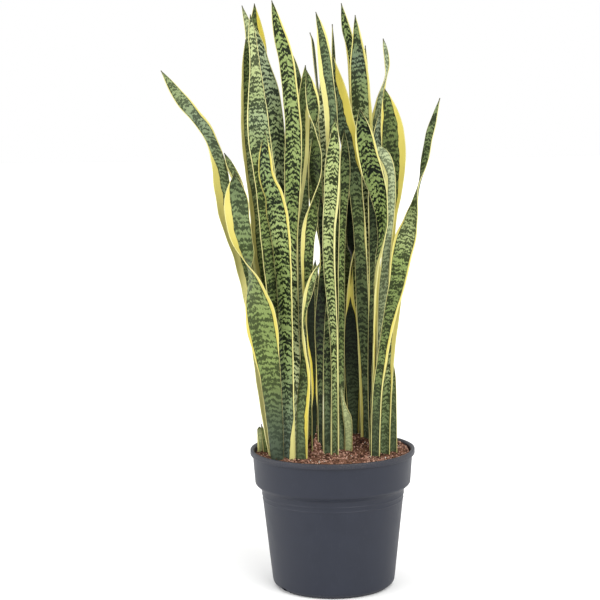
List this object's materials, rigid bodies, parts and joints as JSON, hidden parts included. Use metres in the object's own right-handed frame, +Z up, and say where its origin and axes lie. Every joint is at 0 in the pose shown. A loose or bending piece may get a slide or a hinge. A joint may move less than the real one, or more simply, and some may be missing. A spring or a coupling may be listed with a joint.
{
  "type": "potted snake plant",
  "caption": "Tall laurentii snake plant with upright, twisting, yellow-edged barred leaves, standing in soil in a round dark nursery pot.",
  "frame": {"origin": "middle of the flat pad under the pot, on the surface it stands on", "axes": "+Z up along the pot's axis; the side shown in the picture faces -Y; +X is to that side's right"},
  "size_m": [0.4498, 0.27, 0.9545],
  "materials": {
    "pot_plastic": "slate-grey injection-moulded plastic, satin",
    "leaf_green": "waxy, tough leaf, mid green with bars and yellow margins",
    "leaf_pale": "waxy, tough leaf, pale green and mottled",
    "leaf_dark": "waxy, tough leaf, dark green",
    "potting_soil": "rough brown crumbs of coir and peat with white perlite"
  },
  "bodies": {
    "root": {"pot": "pot_plastic", "leaf_arching_far_left": "leaf_green", "leaf_short_left": "leaf_dark", "leaf_broad_twisted_left": "leaf_green", "leaf_pale_tip_left": "leaf_pale", "leaf_gold_tip_left": "leaf_dark", "leaf_bright_mottled_left": "leaf_pale", "leaf_grey_chevron_left": "leaf_green", "leaf_front_chevron_left": "leaf_green", "leaf_dark_back_left": "leaf_dark", "leaf_tall_left_centre": "leaf_green", "leaf_grey_behind_left_centre": "leaf_dark", "leaf_dark_folded_centre": "leaf_dark", "leaf_corkscrew_centre": "leaf_green", "leaf_short_front_curled": "leaf_green", "leaf_edge_on_centre": "leaf_dark", "leaf_cream_banded_centre": "leaf_pale", "leaf_mottled_behind_centre": "leaf_green", "leaf_thin_dark_centre": "leaf_dark", "leaf_front_bright_centre": "leaf_pale", "leaf_narrow_right_of_centre": "leaf_green", "leaf_golden_margin_centre": "leaf_dark", "leaf_tall_right_centre": "leaf_green", "leaf_big_right_centre": "leaf_green", "leaf_small_tip_right": "leaf_dark", "leaf_front_chevron_right": "leaf_green", "leaf_pale_crescent_right": "leaf_pale", "leaf_broad_gold_right": "leaf_green", "leaf_wavy_thin_right": "leaf_dark", "leaf_leaning_far_right": "leaf_green", "leaf_dark_gold_edge_right": "leaf_dark", "leaf_dark_barred_centre": "leaf_dark", "leaf_leaning_dark_centre": "leaf_dark", "leaf_deep_left_of_centre": "leaf_dark", "leaf_deep_centre": "leaf_dark", "leaf_deep_right_of_centre": "leaf_dark", "leaf_dark_behind_right": "leaf_dark", "leaf_zigzag_base_right": "leaf_green", "leaf_outer_narrow_right": "leaf_dark", "shoot_curled_centre": "leaf_pale", "shoot_blunt_left": "leaf_pale", "shoot_dark_left": "leaf_dark", "soil": "potting_soil"}
  },
  "joints": []
}
